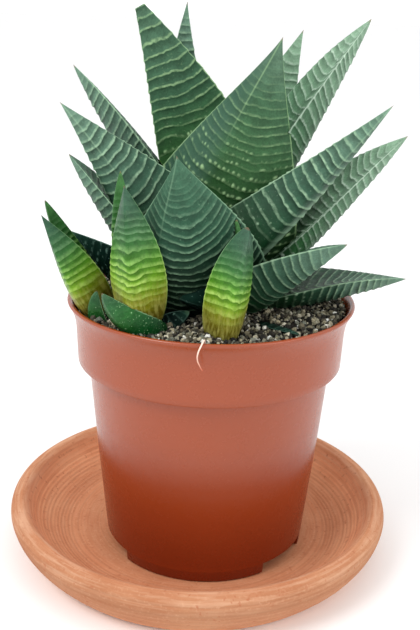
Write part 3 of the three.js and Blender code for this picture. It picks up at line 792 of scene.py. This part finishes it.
def leaf_finish(
    name, back, face, line, ridge_shadow, line_share=0.75, ridge_shadow_share=0.75, speck_share=0.1, keel_share=0.2,
    roughness=0.56, specular=0.16, line_start=(0.54, 0.69), speck_scale=1300.0, streaks=None,
    side_tint=None,
):
    """The skin of a leaf: colours from root to tip for back and face, pale ridge lines with painted
    shadow behind them where each ridge steps down, pale specks, a pale margin and keel, and a brown
    point. It may have streaks at the root, and another tint on the back beside the keel."""
    material, add, link = finish(name, roughness, specular)
    place = add("TexCoord").outputs["Object"]

    def reading(key):
        return add("Attribute", {"attribute_name": key}).outputs["Fac"]

    along, across, on_back = reading("along"), reading("across"), reading("on_back")
    if isinstance(line, list):
        line = ramp(add, along, line)
    skin = blend(add, on_back, ramp(add, along, face), ramp(add, along, back))
    mottle = ramp(add, noise(add, place, 300.0, 4.0, 0.6), [(0.3, grey(0.74)), (0.7, grey(1.22))])
    skin = blend(add, 1.0, skin, mottle, "MULTIPLY")
    fine = ramp(add, noise(add, place, 1900.0, 2.0, 0.5), [(0.3, grey(0.86)), (0.7, grey(1.14))])
    skin = blend(add, 1.0, skin, fine, "MULTIPLY")
    if side_tint:
        side_colour, none_at, full_at = side_tint
        ends = {"From Min": none_at, "From Max": full_at, "To Max": 0.75}
        side = add("MapRange", Value=reading("off_keel"), **ends).outputs[0]
        skin = blend(add, reckon(add, "MULTIPLY", side, on_back), skin, side_colour)
    if streaks:
        way = add("CombineXYZ", X=reading("over_mm"), Y=reckon(add, "MULTIPLY", reading("along_mm"), 0.16))
        streak = ramp(add, noise(add, way.outputs[0], 1.5, 4.0, 0.6), [(0.42, grey(0)), (0.62, grey(1))])
        at_root = ramp(add, along, [(0.0, grey(1)), (0.26, grey(0.75)), (0.5, grey(0))])
        skin = blend(add, reckon(add, "MULTIPLY", streak, at_root), skin, streaks)
    wobble = reckon(add, "MULTIPLY", noise(add, place, 700.0, 3.0, 0.6), 0.16)
    wobble = reckon(add, "SUBTRACT", wobble, 0.08)
    saw = reckon(add, "FRACT", reckon(add, "ADD", reading("ridge"), wobble))
    # Painted shadow: behind each crest, where the ridge steps down, the skin is darkened towards the ridge
    # shadow colour, and it lightens again towards the next crest.
    behind = [(0.0, grey(1)), (0.16, grey(0.7)), (0.5, grey(0)), (0.8, grey(0)), (0.88, grey(1))]
    dark = ramp(add, saw, behind)
    dark = reckon(add, "MULTIPLY", dark, reading("strength"))
    skin = blend(add, reckon(add, "MULTIPLY", dark, ridge_shadow_share), skin, ridge_shadow)
    crest = [(line_start[0], grey(0)), (line_start[1], grey(0.85)), (0.78, grey(1)), (0.86, grey(0))]
    crest = ramp(add, saw, crest)
    broken = ramp(add, noise(add, place, 900.0, 2.0, 0.5), [(0.34, grey(0.4)), (0.56, grey(1))])
    crest = reckon(add, "MULTIPLY", reckon(add, "MULTIPLY", crest, broken), reading("strength"))
    skin = blend(add, reckon(add, "MULTIPLY", crest, line_share, clamp=True), skin, line)
    pearls = ramp(add, reading("pearl"), [(0.2, grey(0)), (0.85, grey(0.66))])
    skin = blend(add, pearls, skin, line)
    specks = ramp(add, noise(add, place, speck_scale, 1.0, 0.4), [(0.68, grey(0)), (0.76, grey(1))])
    skin = blend(add, reckon(add, "MULTIPLY", specks, speck_share), skin, line)
    margin = ramp(add, reckon(add, "ABSOLUTE", across), [(0.975, grey(0)), (0.995, grey(0.6))])
    above_root = ramp(add, along, [(0.1, grey(0)), (0.4, grey(1))])
    skin = blend(add, reckon(add, "MULTIPLY", margin, above_root), skin, line)
    off_keel = reckon(add, "ABSOLUTE", reading("off_keel"))
    keel = ramp(add, off_keel, [(0.1, grey(keel_share)), (0.35, grey(0))])
    keel = reckon(add, "MULTIPLY", keel, ramp(add, along, [(0.55, grey(0)), (0.8, grey(1))]))
    skin = blend(add, reckon(add, "MULTIPLY", keel, on_back), skin, line)
    point = ramp(add, along, [(0.98, grey(0)), (0.998, grey(0.7))])
    skin = blend(add, point, skin, paint(132, 92, 74))
    link(skin, "Base Color")
    satin = [(0.3, grey(roughness - 0.08)), (0.7, grey(roughness + 0.1))]
    link(ramp(add, noise(add, place, 500.0, 3.0), satin), "Roughness")
    pores = reckon(add, "ADD", noise(add, place, 3200.0, 2.0), noise(add, place, 700.0, 3.0))
    link(add("Bump", Height=pores, Distance=0.00012, Strength=0.6).outputs[0], "Normal")
    return material


shaded_skin = leaf_finish(
    "shaded_leaf_skin",
    back=[
        (0.0, paint(0, 8, 6)), (0.5, paint(0, 20, 16)), (0.85, paint(20, 50, 40)),
        (1.0, paint(80, 112, 84)),
    ],
    face=[(0.0, paint(0, 12, 8)), (1.0, paint(40, 70, 58))],
    line=paint(110, 146, 132), ridge_shadow=paint(0, 12, 10), line_share=0.3, speck_share=0.5, specular=0.05,
)
YOUNG_RIDGES = {
    **PUP_RIDGES, "height": 0.06, "plain_tip": 3.0, "plain_root": (0.0, 0.1), "row_step": 0.22,
}
young_skin = leaf_finish(
    "young_leaf_skin",
    back=[
        (0.0, paint(4, 40, 16)), (0.35, paint(12, 66, 26)), (0.6, paint(34, 88, 36)),
        (1.0, paint(46, 84, 56)),
    ],
    face=[(0.0, paint(10, 54, 24)), (1.0, paint(44, 84, 56))],
    line=paint(150, 190, 140), ridge_shadow=paint(2, 28, 12), line_share=0.04, ridge_shadow_share=0.1, speck_share=0.8,
    keel_share=0.1, roughness=0.28, speck_scale=2300.0,
)
for number, (node, shape) in enumerate(YOUNG_LEAVES.items()):
    mesh = grow_leaf(node + "_blade", shape, YOUNG_RIDGES, YOUNG_SEED + SEED_STEP * number)
    skin = shaded_skin if node in ("young_leaf_middle", "fallen_leaf_tip") else young_skin
    new_piece(node + "_blade", mesh, skin, "young_leaf", node)

# Leaves of the three offsets
# Young plants that grow from the side of the stem: short leaves with close ridges, lime green in the
# middle and olive to cream at the foot, where the soil kept them from the light.
PUP_LEAVES = {
    "pup_centre_outer_leaf": leaf(
        (-18, -26.5, 81.5), (-22, -35, 128.5), -99, 16.5, 8, OFFSET,
        side=2, full=0.79, taper=1.08, hollow=0,
    ),
    "pup_centre_inner_leaf": leaf((-16.5, -25, 81.5), (-23.5, -30, 131.5), 87, 9, 4, OFFSET, side=2),
    "pup_left_outer_leaf": leaf(
        (-29.5, -13.5, 82), (-48, -19, 116), -90, 13, 9, OFFSET,
        bow=1, side=1.5, full=0.68, taper=1.2, hollow=0,
    ),
    "pup_left_inner_leaf": leaf((-27, -9.5, 82), (-47.5, -15, 119.5), 127, 9, 4, OFFSET),
    "pup_right_outer_leaf": leaf(
        (6, -32, 82), (12, -35, 118), -82, 13, 9, OFFSET,
        bow=1.5, side=-2, full=0.46, taper=0.64, hollow=0,
    ),
    "pup_right_inner_leaf": leaf((5, -28.5, 82), (9, -30.5, 119), 75, 12, 4, OFFSET, bow=1),
}
PUP_SEED = 140
pup_skin = leaf_finish(
    "offset_leaf_skin",
    back=[
        (0.0, paint(104, 88, 30)), (0.26, paint(98, 90, 14)), (0.36, paint(114, 120, 18)),
        (0.45, paint(104, 146, 24)), (0.56, paint(74, 126, 30)), (0.7, paint(50, 98, 48)),
        (0.85, paint(46, 82, 58)), (1.0, paint(58, 90, 72)),
    ],
    face=[
        (0.0, paint(150, 128, 66)), (0.3, paint(54, 96, 22)), (0.7, paint(40, 92, 40)),
        (1.0, paint(70, 120, 66)),
    ],
    line=[(0.5, paint(190, 222, 120)), (0.62, paint(150, 196, 110)), (0.74, paint(128, 168, 122))],
    ridge_shadow=paint(28, 72, 10), ridge_shadow_share=0.5, speck_share=0.1, keel_share=0.0,
    roughness=0.36, line_start=(0.25, 0.62), streaks=paint(170, 166, 84),
)
for number, (node, shape) in enumerate(PUP_LEAVES.items()):
    mesh = grow_leaf(node + "_blade", shape, PUP_RIDGES, PUP_SEED + SEED_STEP * number)
    new_piece(node + "_blade", mesh, pup_skin, "offset_leaf", node)

# Leaves of the rosette
# Thick pointed leaves, hollow on the face and keeled on the back, with wavy raised ridges across
# both sides: each ridge rises gently from the tip's side and steps down on the root's side.
ROSETTE_LEAVES = {
    "leaf_front_low": leaf((11, -20.5, 95.5), (-9.2, -27, 96.4), -98, 16, 4, bow=1, full=0.4, taper=0.8),
    "leaf_front": leaf(
        (-0.5, -12, 86), (-8, -32.5, 136.5), -90, 41, 7,
        side=1, twist=-5, full=0.69, taper=1.27, keel=-0.5,
    ),
    "leaf_right_lower": leaf(
        (5.5, -10, 91), (40, -32.5, 113.5), -41, 25, 9,
        bow=-3, side=-2.5, twist=8, full=0.4, taper=1, keel=0.15,
    ),
    "leaf_right_upper": leaf(
        (0, -13, 101), (51.5, -20, 150.5), -100, 22.5, 8.5,
        bow=2.5, twist=-13, full=0.05, taper=1, keel=0.2,
    ),
    "leaf_left_upper": leaf(
        (-0.5, -4, 98.5), (-42.5, -15, 148), -53, 28.5, 8,
        bow=3.5, side=1, twist=8, full=0.16, taper=1.08, keel=-0.25,
    ),
    "leaf_centre": leaf(
        (-1, -4, 95.2), (20.7, -5, 167.4), -110, 51.5, 7, bow=2.5, twist=-5, taper=1.2, keel=-0.3,
    ),
    "leaf_right_low": leaf(
        (14, -3, 91), (61.5, -13, 98.5), -7, 30, 6, bow=-1.5, side=1, twist=-17, full=0.36,
    ),
    "leaf_left_lower": leaf(
        (-7, -4.5, 91.5), (-40, -16, 133.5), -170, 27.5, 6,
        bow=-1.5, side=-2, twist=-7, full=0.38, taper=1,
    ),
    "leaf_right_middle": leaf(
        (11, -2.5, 97), (59, -6.5, 140.5), 7, 30, 8, bow=-0.5, side=5, twist=6, full=0.41, keel=-0.1,
    ),
    "leaf_left_low": leaf(
        (-7.5, -3, 87.5), (-45.5, -2.5, 108.5), -138, 27, 6,
        bow=0.5, side=1, twist=2, full=0.22, keel=-0.1,
    ),
    "leaf_left_back": leaf(
        (1.5, 3, 104), (-42, 7.5, 157), -174, 29, 7, bow=-2.5, twist=2, full=0.44, taper=1, keel=-0.1,
    ),
    "leaf_right_high": leaf(
        (3, 4.5, 102), (47.5, 7, 173), -2, 34, 8,
        bow=-5, side=-0.5, twist=15, full=0.6, taper=1, hollow=0.19,
    ),
    "leaf_cut_tip": leaf((9, 5.5, 102), (-26, 24, 179), 76, 34, 6, bow=3.5, side=-2.5, end=0.94),
    "leaf_back_right": leaf((8, 13, 99.5), (28.5, 20, 169), 86, 27, 6, bow=2.5, side=2),
    "leaf_back_left": leaf((0.5, 15, 99.5), (-8.5, 30, 176.5), 105, 21.5, 5, bow=3.5, side=3),
    "leaf_rear_left": leaf((-2, 5, 92), (-20, 34, 118), 120, 26, 6, bow=4),
    "leaf_rear_middle": leaf((3, 7, 93), (8, 46, 131), 85, 27, 7, bow=4),
    "leaf_rear_right": leaf((8, 5, 92), (28, 35, 122), 55, 26, 6, bow=4),
}
ROSETTE_SEED = 40
PALE_LINE = paint(168, 202, 166)
PAINTED_RIDGE_SHADOW = paint(8, 34, 20)
# These stops darken strongly towards the root: partly the leaves' own deeper green, partly painted shade
# where the leaf bases crowd together deep in the rosette.
GREY_STOPS = [
    (0.0, paint(4, 38, 10)), (0.3, paint(16, 54, 28)), (0.55, paint(50, 84, 65)),
    (1.0, paint(102, 134, 114)),
]
PALE_STOPS = [
    (0.0, paint(10, 48, 14)), (0.3, paint(34, 80, 40)), (0.55, paint(72, 112, 80)),
    (1.0, paint(134, 166, 140)),
]
SKINS = {
    "grey": leaf_finish("grey_leaf_skin", GREY_STOPS, GREY_STOPS, PALE_LINE, PAINTED_RIDGE_SHADOW),
    "pale": leaf_finish(
        "pale_leaf_skin", PALE_STOPS, PALE_STOPS, paint(196, 218, 198), paint(14, 48, 26),
        ridge_shadow_share=0.6,
    ),
    "centre": leaf_finish(
        "centre_leaf_skin",
        # Its back, too, darkens towards the root: partly its own deeper green, partly painted shade deep in
        # the rosette.
        back=[
            (0.0, paint(6, 34, 6)), (0.3, paint(12, 46, 12)), (0.42, paint(28, 66, 28)),
            (0.52, paint(48, 86, 50)), (0.75, paint(56, 90, 63)), (1.0, paint(88, 116, 96)),
        ],
        face=GREY_STOPS, line=paint(160, 196, 142), ridge_shadow=paint(8, 38, 14), ridge_shadow_share=0.55,
        speck_share=0.05, keel_share=0.26, side_tint=(paint(50, 84, 68), 2.0, -4.0),
    ),
    "banded": leaf_finish(
        "banded_leaf_skin", GREY_STOPS, GREY_STOPS, PALE_LINE, PAINTED_RIDGE_SHADOW,
        side_tint=(paint(138, 170, 142), 2.0, 4.5),
    ),
    "cut": leaf_finish(
        "cut_leaf_skin",
        back=GREY_STOPS,
        face=[
            (0.0, paint(96, 128, 14)), (0.22, paint(74, 114, 22)), (0.36, paint(38, 86, 32)),
            (0.6, paint(48, 86, 60)), (1.0, paint(78, 110, 88)),
        ],
        line=paint(166, 202, 148), ridge_shadow=paint(8, 36, 14), ridge_shadow_share=0.55, line_start=(0.6, 0.7),
    ),
    # Painted shade: the front leaf's skin is nearly black over its lower part, where it lies in shade low
    # in the rosette.
    "dark": leaf_finish(
        "front_leaf_skin_painted_shade",
        back=[
            (0.0, paint(0, 14, 6)), (0.4, paint(0, 30, 12)), (0.6, paint(36, 74, 54)),
            (1.0, paint(62, 98, 76)),
        ],
        face=[(0.0, paint(0, 18, 10)), (0.5, paint(8, 38, 24)), (1.0, paint(54, 88, 70))],
        line=paint(142, 180, 146), ridge_shadow=paint(0, 12, 8), line_share=0.7, ridge_shadow_share=0.6,
        speck_share=0.15, line_start=(0.45, 0.7),
    ),
    "shade": shaded_skin,
}
SPECIAL = {
    "leaf_centre": (
        "centre",
        {"arc": 1.5, "dots": 0.6, "pitch": 2.5, "height": 0.42, "plain_tip": 48.0, "column_step": 0.42},
    ),
    "leaf_cut_tip": (
        "cut",
        {
            "pitch": 3.5, "tip_pitch": 3.5, "dots": 0.46, "arc": 0.5, "height": 0.42, "slant": 0.1,
            "plain_tip": 6.0, "column_step": 0.42,
        },
    ),
    "leaf_back_right": ("pale", {}),
    "leaf_front": (
        "dark",
        {
            "arc": 2.0, "pitch": 2.4, "tip_pitch": 1.5, "fade": 12.0, "dots": 0.0, "height": 0.36,
            "wave": 0.3, "ripple": 0.12, "plain_tip": 26.0, "plain_root": (0.12, 0.28),
        },
    ),
    "leaf_front_low": ("shade", {"height": 0.05, "plain_tip": 60.0}),
    "leaf_left_low": ("shade", {"height": 0.14, "dots": 0.9}),
    "leaf_right_low": ("grey", {"pitch": 2.7, "dots": 0.45, "teeth": 0.8}),
    "leaf_right_middle": ("pale", {"teeth": 0.8}),
    "leaf_right_high": ("pale", {"height": 0.45, "teeth": 0.9}),
    "leaf_right_upper": (
        "banded",
        {
            "pitch": 3.1, "dots": 0.38, "dot_size": 0.42, "arc": 1.0, "plain_root": (0.1, 0.42),
            "column_step": 0.45,
        },
    ),
}
for number, (node, shape) in enumerate(ROSETTE_LEAVES.items()):
    skin, own_ridges = SPECIAL.get(node, ("grey", {}))
    own_ridges = {**RIDGES, **own_ridges}
    mesh = grow_leaf(node + "_blade", shape, own_ridges, ROSETTE_SEED + SEED_STEP * number)
    new_piece(node + "_blade", mesh, SKINS[skin], "leaf", node)

# Stray root
# A dry pale root, half a millimetre thick. It has crept out of the soil and hangs over the front of
# the rim.
ROOT_PATH = [
    (1.4, -46.4, 86.2), (1.2, -48.0, 89.2), (1.0, -49.4, 89.6), (0.5, -50.6, 88.9), (-0.4, -50.9, 86.6),
    (-0.5, -50.3, 84.4), (0.2, -49.7, 82.4), (0.9, -49.2, 80.9),
]
ROOT_RADIUS = 0.27
ROOT_SWELL = 1.1
ROOT_TAPER = 0.09

root_curve = bpy.data.curves.new("root_path", "CURVE")
root_curve.dimensions = "3D"
root_curve.bevel_depth = ROOT_RADIUS * MM
root_curve.bevel_resolution = 4
root_curve.resolution_u = 12
root_curve.use_fill_caps = True
spline = root_curve.splines.new("BEZIER")
spline.bezier_points.add(len(ROOT_PATH) - 1)
for number, (knot, path_point) in enumerate(zip(spline.bezier_points, ROOT_PATH)):
    knot.co = Vector(path_point) * MM
    knot.handle_left_type = knot.handle_right_type = "AUTO"
    knot.radius = ROOT_SWELL - ROOT_TAPER * number
root_object = bpy.data.objects.new("root_path", root_curve)
bpy.context.collection.objects.link(root_object)
view = bpy.context.evaluated_depsgraph_get()
root_mesh = bpy.data.meshes.new_from_object(root_object.evaluated_get(view))
bpy.data.objects.remove(root_object)
root_mesh.shade_smooth()

root_skin, add, link = finish("dry_root", 0.75, 0.3)
place = add("TexCoord").outputs["Object"]
level = reckon(add, "MULTIPLY", add("SeparateXYZ", Vector=place).outputs[2], 1000 / POT_RAMP_HEIGHT)
root_colour = [(0.9, paint(196, 104, 76)), (0.93, paint(226, 180, 158)), (0.97, paint(240, 212, 196))]
link(ramp(add, level, root_colour), "Base Color")
new_piece("root_thread", root_mesh, root_skin, "root", "stray_root")
